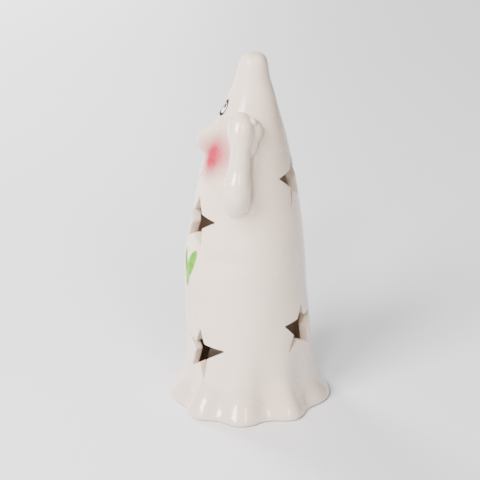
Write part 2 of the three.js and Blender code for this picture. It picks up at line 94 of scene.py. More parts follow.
def spline(pts, n):
    """Centripetal Catmull-Rom through the points, n steps a span."""
    p = np.array(pts, float); out = []
    for i in range(len(p) - 1):
        p1, p2 = p[i], p[i + 1]
        p0 = p[i - 1] if i else 2 * p1 - p2
        p3 = p[i + 2] if i + 2 < len(p) else 2 * p2 - p1
        d0, d1, d2 = (max(np.linalg.norm(a - b), 1e-9) ** .5 for a, b in ((p1, p0), (p2, p1), (p3, p2)))
        t1 = ((p1 - p0) / d0 - (p2 - p0) / (d0 + d1) + (p2 - p1) / d1) * d1
        t2 = ((p2 - p1) / d1 - (p3 - p1) / (d1 + d2) + (p3 - p2) / d2) * d1
        for k in range(n):
            t = k / n
            out.append((2 * t**3 - 3 * t**2 + 1) * p1 + (t**3 - 2 * t**2 + t) * t1 + (3 * t**2 - 2 * t**3) * p2 + (t**3 - t**2) * t2)
    out.append(p[-1])
    return np.array(out)


_curve = spline(PROFILE, 24)
_arc = np.concatenate([[0], np.cumsum(np.hypot(np.diff(_curve[:, 0]), np.diff(_curve[:, 1])))])
ARC_TOP = _arc[-1]


def profile_at(s):
    """Height, radius and centre at the arc length s along the wall."""
    return np.interp(s, _arc, _curve[:, 0]), np.interp(s, _arc, _curve[:, 1]), np.interp(s, _arc, _curve[:, 2])


def radius_at(z): return np.interp(z, _curve[:, 0], _curve[:, 1])
def centre_at(z): return np.interp(z, _curve[:, 0], _curve[:, 2])
def arc_at(z): return np.interp(z, _curve[:, 0], _arc)


_w = [(a, v) for a, v in WAVES] + [((180 - a) if a >= 0 else (-180 - a), v) for a, v in WAVES if -90 < a < 72] + [(100, .35), (109, -.1)]
_w.sort()
_w = [(a - 360, v) for a, v in _w[-3:]] + _w + [(a + 360, v) for a, v in _w[:3]]


def wave_at(deg): return pchip(np.mod(np.asarray(deg, float) + 180, 360) - 180, _w)


# smoothed wave, so the folds roll softly
_deg = np.arange(-180, 180, 1.0)
_wt = wave_at(_deg)
_ker = np.exp(-0.5 * (np.arange(-9, 10) / 2.6) ** 2); _ker /= _ker.sum()
_wt = np.convolve(np.concatenate([_wt[-9:], _wt, _wt[:9]]), _ker, "valid")
_degx = np.concatenate([_deg, [180.0]]); _wtx = np.concatenate([_wt, _wt[:1]])


def wave(deg): return np.interp(np.mod(np.asarray(deg, float) + 180, 360) - 180, _degx, _wtx)


def hand(x, y, z):
    """The slight unevenness of a hand-finished cast surface, in mm."""
    return (0.10 * np.sin(x * .11 + z * .045 + 1.3) * np.cos(y * .09 - z * .06) + 0.06 * np.sin(x * .23 - y * .17 + z * .12 + .4)
            + 0.035 * np.sin(z * .31 + x * .19) * np.sin(y * .27 + 2.0))


def outer(deg, s):
    """Point of the outer wall."""
    deg = np.asarray(deg, float); s = np.asarray(s, float)
    z, r, c = profile_at(s)
    a = np.radians(deg)
    fade = np.clip(r / 8, 0, 1)
    rr = r + pchip(z, WAVE_HEIGHT) * wave(deg)
    x = rr * np.cos(a); y = c + rr * np.sin(a)
    q = np.clip(np.abs(x) / pchip(z, NOSE, 2), 0, 1)
    y = y - np.where((np.sin(a) < 0) & (z > 143) & (z < 172), pchip(z, NOSE, 1) * (1 - q * q) ** 2, 0)
    k = hand(x, y, z) * fade * np.clip((z - 1) / 6, 0, 1)
    return np.stack([x + k * np.cos(a), y + k * np.sin(a), z], -1)


def inner_radius(z):
    e = 1.0
    slope = (radius_at(z + e) - radius_at(z - e)) / (2 * e)
    return radius_at(z) - WALL * np.sqrt(1 + np.clip(slope, -1.2, 1.2) ** 2)


def inner(deg, z):
    a = np.radians(np.asarray(deg, float)); z = np.asarray(z, float)
    r = inner_radius(z) + .6 * pchip(z, WAVE_HEIGHT) * wave(deg)
    return np.stack([r * np.cos(a), centre_at(z) + r * np.sin(a), z], -1)


# ------------------------------------------------------------------ mesh building
def make_object(name, verts_mm, faces, mats, mat_index=None, normals=None, smooth=True):
    me = bpy.data.meshes.new(name)
    me.from_pydata((np.asarray(verts_mm) * .001).tolist(), [], [tuple(int(i) for i in f) for f in faces])
    for m in mats: me.materials.append(m)
    if mat_index is not None: me.polygons.foreach_set("material_index", np.asarray(mat_index, dtype=np.int32))
    me.polygons.foreach_set("use_smooth", np.full(len(me.polygons), smooth))
    me.update(); me.validate()
    ob = bpy.data.objects.new(name, me)
    bpy.context.scene.collection.objects.link(ob)
    if normals is not None and len(normals) == len(me.vertices):
        me.normals_split_custom_set_from_vertices([tuple(n) for n in normals])
    return ob


class Build:
    def __init__(self): self.v, self.f, self.m, self.n = [], [], [], 0

    def add(self, pts):
        pts = np.asarray(pts, float).reshape(-1, 3)
        self.v.append(pts); i = np.arange(self.n, self.n + len(pts)); self.n += len(pts)
        return i

    def face(self, *idx, mat=0): self.f.append(tuple(idx)); self.m.append(mat)

    def ring(self, a, b, mat=0, close=True):
        n = len(a)
        for i in range(n if close else n - 1):
            j = (i + 1) % n
            self.face(a[i], a[j], b[j], b[i], mat=mat)


def inside_poly(px, py, poly):
    r = np.zeros(px.shape, bool); n = len(poly)
    for i in range(n):
        x0, y0 = poly[i]; x1, y1 = poly[(i + 1) % n]
        if y0 == y1: continue
        c = ((y0 > py) != (y1 > py)) & (px < (x1 - x0) * (py - y0) / (y1 - y0) + x0)
        r ^= c
    return r


def star_outline(poly, side):
    """Evenly sampled outline with its outward offset directions (unit miter, fanned at the tips)."""
    p = np.array(poly, float) * [side, 1]
    if side < 0: p = p[::-1]
    n = len(p); out, off = [], []
    area = 0.5 * np.sum(p[:, 0] * np.roll(p[:, 1], -1) - np.roll(p[:, 0], -1) * p[:, 1])
    if area < 0: p = p[::-1]
    for i in range(n):
        a, b, c = p[i - 1], p[i], p[(i + 1) % n]
        d0 = (b - a) / np.linalg.norm(b - a); d1 = (c - b) / np.linalg.norm(c - b)
        n0 = np.array([d0[1], -d0[0]]); n1 = np.array([d1[1], -d1[0]])
        cross = d0[0] * d1[1] - d0[1] * d1[0]
        if cross > 0:  # tip: fan of directions
            a0 = math.atan2(n0[1], n0[0]); a1 = math.atan2(n1[1], n1[0])
            while a1 < a0: a1 += 2 * math.pi
            for k in range(7):
                an = a0 + (a1 - a0) * k / 6
                # a tip is rounded by the glaze: radius 0.35
                d = np.array([math.cos(an), math.sin(an)])
                bis = (n0 + n1) / np.linalg.norm(n0 + n1)
                half = (a1 - a0) / 2
                cen = b - bis * (.35 / max(math.cos(half), .2))
                out.append(cen + .35 * d); off.append(d)
        else:
            bis = (n0 + n1); bis /= np.linalg.norm(bis)
            out.append(b); off.append(bis / max(bis @ n0, .5))
        # along the edge to the next corner
        e0, e1 = b, c
        L = np.linalg.norm(e1 - e0)
        k = max(int(L / 1.3), 3)
        t0, t1 = 1.3 / L, 1 - 1.3 / L
        for t in np.linspace(t0, t1, k):
            out.append(e0 + t * (e1 - e0)); off.append(n1)
    return np.array(out), np.array(off)


def star_frame(deg, z):
    a = math.radians(deg)
    n = np.array([math.cos(a), math.sin(a), 0]); t = np.array([-math.sin(a), math.cos(a), 0])
    return np.array([0, float(centre_at(z)), z]), n, t


def hit(star, uv, which):
    """Where the star's straight cut meets the outer or the inner wall."""
    o, n, t = star_frame(star[0], star[1])
    base = o + uv[:, :1] * t + uv[:, 1:] * np.array([0, 0, 1.0])
    z = base[:, 2]
    w = np.full(len(uv), float(radius_at(star[1])))
    for _ in range(12):
        p = base + w[:, None] * n
        dx, dy = p[:, 0], p[:, 1] - centre_at(z)
        rad = np.hypot(dx, dy); deg = np.degrees(np.arctan2(dy, dx))
        if which == "outer": target = radius_at(z) + pchip(z, WAVE_HEIGHT) * wave(deg) + hand(p[:, 0], p[:, 1], z)
        else: target = inner_radius(z) + .6 * pchip(z, WAVE_HEIGHT) * wave(deg)
        w -= (rad - target) / np.maximum((dx * n[0] + dy * n[1]) / np.maximum(rad, 1e-6), .3)
    p = base + w[:, None] * n
    return p, n


def star_param(p):
    z = p[:, 2]; dy = p[:, 1] - centre_at(z)
    return np.degrees(np.arctan2(dy, p[:, 0])), z


def wall_patch(B, point, s_of_z, loops_deg_s, s_rows, seg_of_row, width, mat, flip):
    """Fills a wall over the (angle, arc) domain with Delaunay triangles, leaving the star loops open."""
    pts, edges = [], []
    def push(x, y): pts.append((x, y)); return len(pts) - 1
    lo, hi = s_rows[0], s_rows[-1]
    SC = width  # angle is scaled to mm at a mean radius
    # borders: left and right share the rows; bottom and top share their own steps
    nb, nt = seg_of_row(lo), seg_of_row(hi)
    left = [push(-180 * SC, s) for s in s_rows]
    right = [push(180 * SC, s) for s in s_rows]
    bottom = [left[0]] + [push((-180 + 360 * i / nb) * SC, lo) for i in range(1, nb)] + [right[0]]
    top = [left[-1]] + [push((-180 + 360 * i / nt) * SC, hi) for i in range(1, nt)] + [right[-1]]
    for chain in (left, right, bottom, top): edges += list(zip(chain[:-1], chain[1:]))
    loops = []
    for deg, s in loops_deg_s:
        idx = [push(d * SC, q) for d, q in zip(deg, s)]
        edges += list(zip(idx, idx[1:] + idx[:1])); loops.append(idx)
    border = len(pts)
    xs, ys = [], []
    for j, s in enumerate(s_rows[1:-1]):
        n = seg_of_row(s)
        sh = .5 if j % 2 else 0.0
        k = np.arange(n); d = -180 + 360 * (k + (.5 if sh else 1.0)) / n
        d = d[(d > -180 + 180 / n) & (d < 180 - 180 / n)]
        xs.append(d * SC); ys.append(np.full(len(d), s))
    xs = np.concatenate(xs); ys = np.concatenate(ys)
    keep = np.ones(len(xs), bool)
    for idx in loops:
        poly = np.array([pts[i] for i in idx])
        x0, y0 = poly.min(0) - 3; x1, y1 = poly.max(0) + 3
        near = (xs > x0) & (xs < x1) & (ys > y0) & (ys < y1)
        ins = np.zeros(len(xs), bool); ins[near] = inside_poly(xs[near], ys[near], poly)
        # distance to the outline's segments
        a = poly; b = np.roll(poly, -1, 0)
        q = np.stack([xs[near], ys[near]], -1)[:, None]
        ab = (b - a)[None]; t = np.clip(((q - a[None]) * ab).sum(-1) / np.maximum((ab**2).sum(-1), 1e-9), 0, 1)
        dist = np.linalg.norm(q - a[None] - t[..., None] * ab, axis=-1).min(1)
        close = np.zeros(len(xs), bool); close[near] = dist < .75
        keep &= ~(ins | close)
    for x, y in zip(xs[keep], ys[keep]): pts.append((x, y))
    res = delaunay_2d_cdt([Vector(p) for p in pts], edges, [], 0, 1e-5)
    vo, fo, orig = res[0], res[2], res[3]
    P = np.array([(v.x, v.y) for v in vo])
    F = np.array([f for f in fo if len(f) == 3])
    cen = P[F].mean(1)
    bad = (cen[:, 0] < -180 * SC) | (cen[:, 0] > 180 * SC) | (cen[:, 1] < lo) | (cen[:, 1] > hi)
    for idx in loops:
        poly = np.array([pts[i] for i in idx]); bad |= inside_poly(cen[:, 0], cen[:, 1], poly)
    F = F[~bad]
    # original index of each output vertex
    src = np.full(len(P), -1)
    for i, o in enumerate(orig):
        if len(o): src[i] = min(o)
    where = {int(s): i for i, s in enumerate(src) if s >= 0}
    gid = B.add(point(P[:, 0] / SC, P[:, 1]))
    # weld the right border to the left one
    remap = gid.copy()
    for a_, b_ in zip(left, right): remap[where[b_]] = gid[where[a_]]
    for f in F:
        a_, b_, c_ = remap[f[0]], remap[f[1]], remap[f[2]]
        if len({a_, b_, c_}) == 3: B.face(*((a_, c_, b_) if flip else (a_, b_, c_)), mat=mat)
    get = lambda ids: np.array([remap[where[i]] for i in ids])
    return get(bottom[:-1]), get(top[:-1]), [get(l) for l in loops]


# ------------------------------------------------------------------ ceramic shell
def build_shell(mats):
    GLAZE, RAW = 0, 1
    B = Build()
    lip, lip_in = .65, .7
    K = 4
    outer_loops, inner_loops, rims = [], [], []
    for st in STARS:
        uv, off = star_outline(st[2], st[3])
        p0, n = hit(st, uv + off * lip, "outer")
        d, z = star_param(p0)
        outer_loops.append((d, arc_at(z)))
        q0, _ = hit(st, uv + off * lip_in, "inner")
        d, z = star_param(q0)
        inner_loops.append((d, z))
        rims.append((uv, off, st))
    for i, (d, s) in enumerate(outer_loops + inner_loops):
        pass
    # outer wall
    s0, s1 = float(arc_at(2.0)), ARC_TOP - .55
    rows = [s0]
    while rows[-1] < s1 - 1.2:
        z = float(profile_at(rows[-1])[0])
        rows.append(rows[-1] + (1.25 if (z < 30 or 141 < z < 174 or z > 188) else 1.9))
    rows[-1] = s1
    def seg(s):
        z, r, _ = profile_at(s)
        step = 1.35 if z < 40 else (1.3 if 141 < z < 174 else 1.8)
        if z > 185: step = 1.2
        return int(max(16, round(2 * math.pi * float(r) / step)))
    bot, top, oloops = wall_patch(B, outer, None, outer_loops, rows, seg, math.radians(1) * 30, GLAZE, False)
    # cap at the tip
    zt = B.add([[0, float(profile_at(ARC_TOP)[2]), 199.9]])[0]
    for i in range(len(top)): B.face(top[i], top[(i + 1) % len(top)], zt, mat=GLAZE)
    # rolled lip of the hem down to the foot, recess, floor edge, hole
    n = len(bot)
    deg = -180 + 360 * np.arange(n) / n; a = np.radians(deg)
    base = outer(deg, np.full(n, s0)); wv = wave(deg) * float(pchip(1.0, WAVE_HEIGHT))
    rb = np.hypot(base[:, 0], base[:, 1])
    prev = bot
    def ring_at(r, z, mat, flat_from=None):
        nonlocal prev
        pts = np.stack([r * np.cos(a), r * np.sin(a), np.full(n, z) if np.isscalar(z) else z], -1)
        cur = B.add(pts); B.ring(cur, prev, mat=mat); prev = cur
    for dr, z in ((.12, 1.45), (.0, .95), (-.35, .58), (-.9, .36), (-1.6, FOOT_Z), (-3.2, FOOT_Z)): ring_at(rb + dr, z, GLAZE)
    for r, z, m in ((RECESS_R + 1.0, FOOT_Z, RAW), (RECESS_R + .35, FOOT_Z + .25, RAW), (RECESS_R, FOOT_Z + .9, RAW), (RECESS_R, 3.5, RAW), (RECESS_R, FLOOR_LOW - 1.2, RAW),
                    (RECESS_R - .35, FLOOR_LOW - .35, RAW), (RECESS_R - 1.2, FLOOR_LOW, RAW), (31, FLOOR_LOW, RAW), (HOLE_R + .9, FLOOR_LOW, RAW), (HOLE_R + .25, FLOOR_LOW + .25, RAW),
                    (HOLE_R, FLOOR_LOW + .9, RAW), (HOLE_R, FLOOR_HIGH - .9, RAW), (HOLE_R + .25, FLOOR_HIGH - .25, RAW), (HOLE_R + .9, FLOOR_HIGH, RAW), (29.0, FLOOR_HIGH, RAW)):
        ring_at(np.full(n, r), z, m)
    # inner wall
    def inner_point(deg, z): return inner(deg, z)
    z0, z1 = 15.0, 182.0
    rows = [z0]
    while rows[-1] < z1 - 2.0: rows.append(rows[-1] + 3.2)
    rows[-1] = z1
    def seg_in(z): return int(max(18, round(2 * math.pi * max(float(inner_radius(z)), 2) / 3.2))) if z > z0 + .01 else n
    ib, it, iloops = wall_patch(B, inner_point, None, inner_loops, rows, seg_in, math.radians(1) * 25, RAW, True)
    # fillet from the floor into the wall
    base_in = inner(deg, np.full(n, z0)); ri = np.hypot(base_in[:, 0], base_in[:, 1] - 0.0)
    for dr, z in ((-2.6, FLOOR_HIGH), (-1.2, FLOOR_HIGH + .45), (-.4, FLOOR_HIGH + 1.3)): ring_at(ri + dr, z, RAW)
    B.ring(ib, prev, mat=RAW)
    # dome at the top of the cavity
    m = len(it); di = -180 + 360 * np.arange(m) / m; ai = np.radians(di)
    r1 = float(inner_radius(z1)); c1 = float(centre_at(z1)); prev_t = it
    for f, z in ((.82, z1 + 2.2), (.45, CAVITY_TOP - .8)):
        cur = B.add(np.stack([r1 * f * np.cos(ai), c1 + r1 * f * np.sin(ai), np.full(m, z)], -1)); B.ring(cur, prev_t, mat=RAW); prev_t = cur
    zc = B.add([[0, c1, CAVITY_TOP]])[0]
    for i in range(m): B.face(prev_t[(i + 1) % m], prev_t[i], zc, mat=RAW)
    # rims of the stars
    up = np.array([0, 0, 1.0])
    for (uv, off, st), lo, li in zip(rims, oloops, iloops):
        prev = lo
        for k in range(1, K + 1):
            ph = math.pi / 2 * k / K
            p, nn = hit(st, uv + off * lip * (1 - math.sin(ph)), "outer")
            cur = B.add(p - nn * lip * (1 - math.cos(ph))); B.ring(prev, cur, mat=GLAZE); prev = cur
        last = B.v[-1]
        p_in, nn = hit(st, uv, "inner")
        p_in = p_in + nn * lip_in
        for k in range(1, 5):
            cur = B.add(last + (p_in - last) * k / 4); B.ring(prev, cur, mat=GLAZE if k < 4 else GLAZE); prev = cur
        for k in range(1, K):
            ph = math.pi / 2 * (1 - k / K)
            p, nn = hit(st, uv + off * lip_in * (1 - math.sin(ph)), "inner")
            cur = B.add(p + nn * lip_in * (1 - math.cos(ph))); B.ring(prev, cur, mat=RAW); prev = cur
        B.ring(prev, li, mat=RAW)
    V = np.concatenate(B.v)
    return V, B.f, B.m


# ------------------------------------------------------------------ arms: a blended solid turned into a mesh
def smin(a, b, k):
    h = np.maximum(k - np.abs(a - b), 0) / k
    return np.minimum(a, b) - h**3 * k / 6


def body_distance(x, y, z):
    c = centre_at(z); dx, dy = x, y - c
    deg = np.degrees(np.arctan2(dy, dx))
    r = radius_at(z)
    slope = (radius_at(z + .5) - radius_at(z - .5))
    return (np.hypot(dx, dy) - r - hand(x, y, z)) / np.sqrt(1 + slope**2)


_arm = spline(ARM, 7)


def arm_fields(x, y, z):
    d = np.full(x.shape, 1e3)
    for cx, cy, cz, r in _arm:
        d = np.minimum(d, np.sqrt((x - cx) ** 2 + (y - cy) ** 2 + (z - cz) ** 2) - r)
    tx, ty, tz, tr = THUMB
    th = (np.sqrt(((x - tx) / tr) ** 2 + ((y - ty) / tr) ** 2 + ((z - tz) / (1.32 * tr)) ** 2) - 1) * tr
    palm = (np.sqrt(((x - 22.0) / 4.8) ** 2 + ((y + .9) / 4.6) ** 2 + ((z - 156.5) / 7.5) ** 2) - 1) * 4.6
    knob = np.sqrt((x - 22.6) ** 2 + (y - .6) ** 2 + (z - 168.2) ** 2) - 2.7
    d = smin(d, smin(smin(th, palm, 5.0), knob, .9), .6)
    return d


def arm_solid(x, y, z):
    fb = body_distance(x, y, z); fa = arm_fields(x, y, z)
    k = np.interp(z, [118, 128, 133, 138, 150, 158, 172], [6.5, 6.0, 3.2, 1.4, 1.2, 1.6, 1.5])
    s = smin(fa, fb + .03, k)
    s = np.maximum(s, -(fb + 2.0))
    return np.maximum(s, fa - 6.2), fa, fb


def surface_nets(f, lo, hi, h):
    nx, ny, nz = [int(math.ceil((b - a) / h)) + 1 for a, b in zip(lo, hi)]
    X, Y, Z = np.meshgrid(lo[0] + h * np.arange(nx), lo[1] + h * np.arange(ny), lo[2] + h * np.arange(nz), indexing="ij")
    S = f(X, Y, Z)[0]
    neg = S < 0
    c = np.zeros((nx - 1, ny - 1, nz - 1), np.int8)
    for i in (0, 1):
        for j in (0, 1):
            for k in (0, 1): c += neg[i:nx - 1 + i, j:ny - 1 + j, k:nz - 1 + k]
    act = (c > 0) & (c < 8)
    ids = np.full(act.shape, -1, np.int64); ids[act] = np.arange(act.sum())
    acc = np.zeros(act.shape + (3,)); cnt = np.zeros(act.shape)
    def edges(axis):
        sl0 = [slice(None)] * 3; sl1 = [slice(None)] * 3
        sl0[axis] = slice(0, -1); sl1[axis] = slice(1, None)
        a, b = S[tuple(sl0)], S[tuple(sl1)]
        cross = (a < 0) != (b < 0)
        t = np.where(cross, a / np.where(a == b, 1, a - b), 0)
        return cross, t
    for axis in range(3):
        cross, t = edges(axis)
        o = [k for k in range(3) if k != axis]
        for da in (0, 1):
            for db in (0, 1):
                sl = [slice(None)] * 3
                sl[o[0]] = slice(da, act.shape[o[0]] + da); sl[o[1]] = slice(db, act.shape[o[1]] + db)
                cr, tt = cross[tuple(sl)], t[tuple(sl)]
                v = np.zeros(act.shape + (3,)); v[..., axis] = tt; v[..., o[0]] = da; v[..., o[1]] = db
                acc += v * cr[..., None]; cnt += cr
    I = np.argwhere(act)
    P = np.array(lo) + h * (I + (acc[act] / np.maximum(cnt[act], 1)[:, None]))
    faces = []
    for axis in range(3):
        cross, _ = edges(axis)
        o = [(axis + 1) % 3, (axis + 2) % 3]
        idx = np.argwhere(cross)
        ok = (idx[:, o[0]] > 0) & (idx[:, o[1]] > 0) & (idx[:, o[0]] < act.shape[o[0]]) & (idx[:, o[1]] < act.shape[o[1]])
        idx = idx[ok]
        def cell(d0, d1):
            q = idx.copy(); q[:, o[0]] -= d0; q[:, o[1]] -= d1
            return ids[q[:, 0], q[:, 1], q[:, 2]]
        quad = np.stack([cell(1, 1), cell(0, 1), cell(0, 0), cell(1, 0)], -1)
        out = neg[idx[:, 0], idx[:, 1], idx[:, 2]]
        quad[~out] = quad[~out][:, ::-1]
        faces.append(quad)
    F = np.concatenate(faces); F = F[(F >= 0).all(1)]
    # pull the vertices onto the surface
    def grad(p):
        e = .05; g = np.zeros_like(p)
        for k in range(3):
            d = np.zeros(3); d[k] = e
            g[:, k] = (f(*(p + d).T)[0] - f(*(p - d).T)[0]) / (2 * e)
        return g
    for _ in range(3):
        v = f(*P.T)[0]; g = grad(P); n2 = np.maximum((g**2).sum(1), .05)
        P = P - np.clip(v / n2, -.4 * h, .4 * h)[:, None] * g
    g = grad(P); g /= np.maximum(np.linalg.norm(g, axis=1), 1e-9)[:, None]
    return P, F, g


# ------------------------------------------------------------------ node helpers
class N:
    """A small expression builder for shader maths."""
    def __init__(self, nt, sock): self.nt, self.s = nt, sock

    def _op(self, op, *args, clamp=False):
        nd = self.nt.nodes.new("ShaderNodeMath"); nd.operation = op; nd.use_clamp = clamp
        for i, a in enumerate((self,) + args):
            if isinstance(a, N): self.nt.links.new(a.s, nd.inputs[i])
            else: nd.inputs[i].default_value = float(a)
        return N(self.nt, nd.outputs[0])

    def __add__(self, o): return self._op("ADD", o)
    __radd__ = __add__
    def __sub__(self, o): return self._op("SUBTRACT", o)
    def __rsub__(self, o): return (self * -1) + o
    def __mul__(self, o): return self._op("MULTIPLY", o)
    __rmul__ = __mul__
    def __truediv__(self, o): return self._op("DIVIDE", o)
    def sq(self): return self * self
    def sqrt(self): return self._op("SQRT")
    def abs(self): return self._op("ABSOLUTE")
    def min(self, o): return self._op("MINIMUM", o)
    def max(self, o): return self._op("MAXIMUM", o)
    def clamp(self): return self._op("ADD", 0.0, clamp=True)
    def pow(self, o): return self._op("POWER", o)
    def step(self, lo, hi):
        """1 below lo, 0 above hi, smooth between."""
        nd = self.nt.nodes.new("ShaderNodeMapRange"); nd.interpolation_type = "SMOOTHSTEP"
        self.nt.links.new(self.s, nd.inputs["Value"])
        for k, v in (("From Min", lo), ("From Max", hi), ("To Min", 1.0), ("To Max", 0.0)):
            nd.inputs[k].default_value = v
        return N(self.nt, nd.outputs["Result"])


def new_material(name):
    m = bpy.data.materials.new(name); m.use_nodes = True
    nt = m.node_tree; bsdf = nt.nodes["Principled BSDF"]
    co = nt.nodes.new("ShaderNodeTexCoord")
    return m, nt, bsdf, co


def mm_axes(nt, co):
    sep = nt.nodes.new("ShaderNodeSeparateXYZ"); nt.links.new(co.outputs["Object"], sep.inputs[0])
    return [N(nt, sep.outputs[k]) * 1000.0 for k in range(3)]


def noise(nt, co, scale, detail=2.0, rough=.5, stretch=None):
    t = nt.nodes.new("ShaderNodeTexNoise"); t.inputs["Scale"].default_value = scale
    t.inputs["Detail"].default_value = detail; t.inputs["Roughness"].default_value = rough
    src = co.outputs["Object"]
    if stretch:
        mp = nt.nodes.new("ShaderNodeMapping"); mp.inputs["Scale"].default_value = stretch
        nt.links.new(src, mp.inputs["Vector"]); src = mp.outputs[0]
    nt.links.new(src, t.inputs["Vector"])
    return N(nt, t.outputs["Fac"])


def mix(nt, fac, a, b):
    m = nt.nodes.new("ShaderNodeMix"); m.data_type = "RGBA"
    if isinstance(fac, N): nt.links.new(fac.s, m.inputs["Factor"])
    else: m.inputs["Factor"].default_value = fac
    for key, v in (("A", a), ("B", b)):
        i = [q for q in m.inputs if q.name == key and q.type == "RGBA"][0]
        if isinstance(v, tuple): i.default_value = (*v, 1)
        else: nt.links.new(v, i)
    return [q for q in m.outputs if q.type == "RGBA"][0]


def bump(nt, bsdf, height, strength, distance=.001):
    b = nt.nodes.new("ShaderNodeBump"); b.inputs["Strength"].default_value = strength; b.inputs["Distance"].default_value = distance
    nt.links.new(height.s, b.inputs["Height"]); nt.links.new(b.outputs[0], bsdf.inputs["Normal"])


def lin(r, g, b):
    f = lambda v: (v / 255 / 12.92) if v / 255 <= .04045 else (((v / 255) + .055) / 1.055) ** 2.4
    return (f(r), f(g), f(b))


# ------------------------------------------------------------------ materials
def seg_distance(X, Y, a, b):
    """Distance in a plane to a straight stroke from a to b."""
    ax, ay = a; bx, by = b
    L2 = (bx - ax) ** 2 + (by - ay) ** 2
    t = (((X - ax) * (bx - ax) + (Y - ay) * (by - ay)) / L2).clamp()
    dx = X - (t * (bx - ax) + ax); dy = Y - (t * (by - ay) + ay)
    return (dx.sq() + dy.sq()).sqrt(), t


def glaze_material(name="glaze_white"):
    m, nt, bs, co = new_material(name)
    X, Y, Z = mm_axes(nt, co)
    A = X.abs()
    front = Y.step(-4.0, 2.0)
    # body colour: warm white and speckled, darker towards the bottom as painted shade on the hem
    big = noise(nt, co, 38, 3, .55); fine = noise(nt, co, 900, 2, .6)
    base = mix(nt, big.step(.35, .7), (.715, .585, .485), (.69, .56, .455))
    # painted shade: the lower body and the hem folds are darkened in the colour
    low_painted_shade = Z.step(4, 38) * .8
    base = mix(nt, low_painted_shade, base, (.64, .51, .435))
    # cheeks: airbrushed pink
    dx = A - 12.2; dz = Z - 146.0
    wob = (noise(nt, co, 160, 2) - .5) * 2.2
    r1 = ((dx / 1.1).sq() + (dz / 1.5).sq()).sqrt() + wob
    cheek = (r1.step(1.5, 12.5) * 1.0) * front
    cheek = cheek.max(r1.step(4, 14.0) * .24 * front)
    grain = (noise(nt, co, 1500, 1) * .5 + .75)
    base = mix(nt, (cheek * grain).clamp(), base, (.36, .004, .035))
    halo = (((A - 19).sq() + (Z - 149).sq()).sqrt().step(3, 11) * .13 * front)
    base = mix(nt, halo, base, lin(214, 110, 124))
    # eye: thin outlined oval with a dark pupil and a painted highlight in the pupil
    ex, ez = 3.9, 170.9
    u = (A - ex) / 2.35; v = (Z - ez - (A - ex) * -.25) / 3.7
    q = (u.sq() + v.sq()).sqrt()
    ring_ = ((q - 1.0).abs() * 2.6).step(.32, .8) * front
    inside = q.step(.92, 1.02) * front
    base = mix(nt, inside * .75, base, lin(240, 238, 236))
    pu = (A - ex + .15) / 1.28; pv = (Z - ez - 1.35) / 1.95
    pq = (pu.sq() + pv.sq()).sqrt()
    pupil = pq.step(.86, 1.06) * front
    # painted highlight: a white spot left in the pupil stands in for the lamp's reflection
    pupil_painted_highlight = (((A - ex + .35).sq() + (Z - ez - 2.0).sq()).sqrt()).step(.34, .58)
    base = mix(nt, (ring_ * 1.0).max(pupil * 1.0) * (1 - pupil_painted_highlight * .9), base, (.012, .012, .016))
    # smile: a thin arc from cheek to cheek
    sx = A / 11.5
    smile_z = sx.sq() * 10.2 + 130.2
    d = (Z - smile_z).abs() / (sx * 1.1).sq()._op("ADD", 1.0).sqrt()
    smile = (d.step(.18, .62)) * A.step(8.6, 9.6) * front
    base = mix(nt, smile * .85, base, lin(92, 70, 74))
    # sprig: brushed green leaves on a curved stem
    g = None
    hue = noise(nt, co, 260, 2)
    def leaf(a, b, w, bend=0.0):
        d, t = seg_distance(X, Z, a, b)
        prof = (t * (1 - t) * 4).clamp().pow(.55) * w
        return (d - prof).step(-.25, .5)
    strokes = [leaf((12.9, 71.4), (15.6, 83.5), 1.7), leaf((14.6, 77.5), (18.9, 94.2), 2.9), leaf((14.4, 77.0), (8.2, 92.4), 2.0),
               leaf((-.4, 88.0), (-.9, 96.0), 1.2),
               leaf((-6.9, 71.0), (-8.0, 80.0), 1.3), leaf((-7.6, 76.5), (-10.4, 91.0), 2.1), leaf((-7.4, 77.5), (-4.2, 89.4), 1.5)]
    for s in strokes: g = s if g is None else g.max(s)
    thin = None
    way = [(13.2, 76.0), (9.1, 77.6), (4.5, 78.0), (1.2, 80.0), (-.9, 84.5), (-.8, 90.0)]
    way2 = [(-7.1, 75.6), (-5.2, 76.2), (-3.0, 77.2), (-.6, 79.2), (1.2, 80.0)]
    for a, b in list(zip(way[:-1], way[1:])) + list(zip(way2[:-1], way2[1:])):
        d, t = seg_distance(X, Z, a, b); s = d.step(.3, .75); thin = s if thin is None else thin.max(s)
    streak = noise(nt, co, 420, 2, .6, (1, 1, .25))
    gcol = mix(nt, hue.step(.4, .62), (.06, .28, .003), (.028, .19, .002))
    gcol = mix(nt, streak.step(.42, .66) * .35, gcol, (.30, .56, .02))
    base = mix(nt, (g * front * (streak * .3 + .84)).clamp(), base, gcol)
    base = mix(nt, (thin * front * .85).clamp(), base, (.22, .40, .10))
    paint = g.max(thin * .8).max(pupil).max(ring_ * .9).max(cheek * .9) * front
    # tiny iron specks and dust in the glaze
    vor = nt.nodes.new("ShaderNodeTexVoronoi"); vor.inputs["Scale"].default_value = 95
    nt.links.new(co.outputs["Object"], vor.inputs["Vector"])
    speck = N(nt, vor.outputs["Distance"]).step(.018, .034)
    base = mix(nt, speck * .35, base, lin(150, 128, 108))
    nt.links.new(base, bs.inputs["Base Color"])
    top = 1.0 - Z.step(166, 178)        # the glaze is thinner and duller on the tip
    rough = (big * .06) + .24 + top * .16
    nt.links.new(rough.s, bs.inputs["Roughness"])
    bs.inputs["IOR"].default_value = 1.5
    nt.links.new((1.0 - paint * .93 - top * .78).clamp().s, bs.inputs["Coat Weight"])
    nt.links.new((.5 - paint * .42 - top * .22).clamp().s, bs.inputs["Specular IOR Level"])
    bs.inputs["Coat Roughness"].default_value = .045
    bs.inputs["Coat IOR"].default_value = 1.52
    bs.inputs["Subsurface Weight"].default_value = 0.0
    bump(nt, bs, noise(nt, co, 130, 3, .5) * .7 + fine * .04, .10, .0006)
    return m


